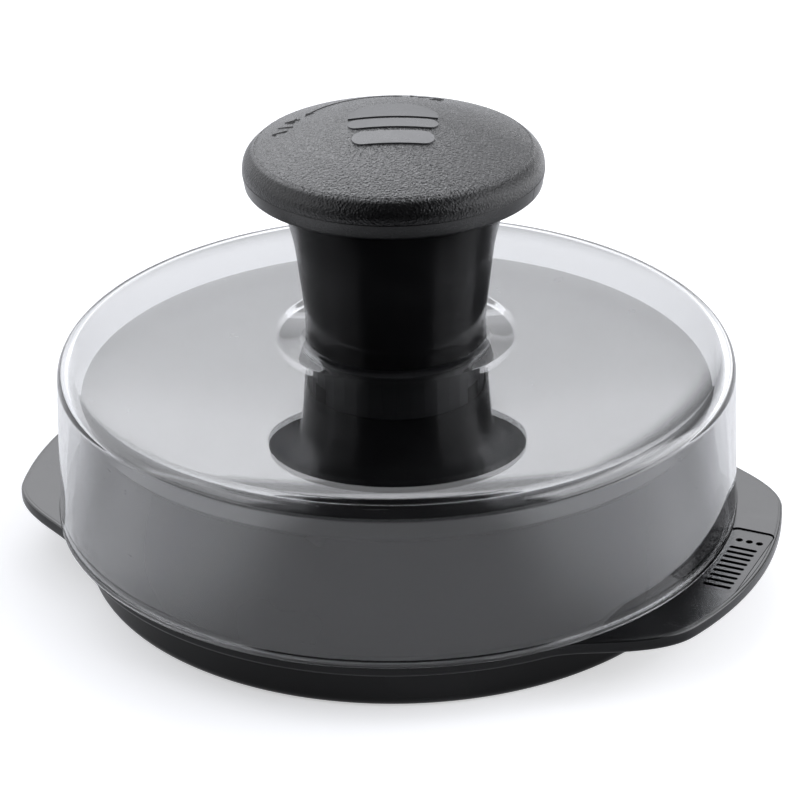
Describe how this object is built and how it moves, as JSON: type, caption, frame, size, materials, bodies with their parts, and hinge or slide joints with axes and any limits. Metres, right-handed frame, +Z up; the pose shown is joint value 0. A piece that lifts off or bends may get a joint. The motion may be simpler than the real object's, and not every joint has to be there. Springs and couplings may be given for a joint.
{
  "type": "patty press",
  "caption": "Round hand press for meat patties: black tray with two ears, clear domed cover, black press drum and a mushroom knob that turns to set patty thickness.",
  "frame": {"origin": "centre of the base tray, on the face it stands on", "axes": "+Z up along the knob's turning axis; the ears lie 25 degrees clockwise of the X axis, seen from above"},
  "size_m": [0.1638, 0.145, 0.0987],
  "materials": {
    "base_black": "fine-grained moulded black",
    "clear_plastic": "clear polished moulding",
    "sleeve_black": "smooth black moulding",
    "drum_black": "spark-eroded matte black",
    "disc_black": "smooth release face",
    "neck_black": "satin black",
    "cap_black": "coarse leather-like grain",
    "cam_grey": "acetal moulding",
    "washer_white": "punched low-friction plastic",
    "steel": "stainless"
  },
  "bodies": {
    "base": {"base_tray": "base_black"},
    "cover": {"clear_cover": "clear_plastic", "guide_sleeve": "sleeve_black"},
    "press": {"press_drum": "drum_black", "press_disc": "disc_black", "cam_pin_1": "steel", "cam_pin_2": "steel", "cam_pin_3": "steel"},
    "knob": {"knob_cap": "cap_black", "knob_neck": "neck_black", "cam_spindle": "cam_grey", "thrust_washer": "washer_white", "knob_washer": "steel", "knob_screw": "steel"}
  },
  "joints": [
    {"name": "cover_lift", "type": "slide", "parent": "base", "child": "cover", "axis": [0, 0, 1], "range_m": [0, 0.08]},
    {"name": "press_slide", "type": "slide", "parent": "cover", "child": "press", "axis": [0, 0, 1], "range_m": [0, 0.0072]},
    {"name": "knob_turn", "type": "hinge", "parent": "cover", "child": "knob", "pos_m": [0, 0, 0.0506], "axis": [0, 0, 1], "range_deg": [0, 90]}
  ],
  "couplings": [
    {"joint": "knob_turn", "follows": "press_slide", "rad_per_m": 218.16}
  ]
}
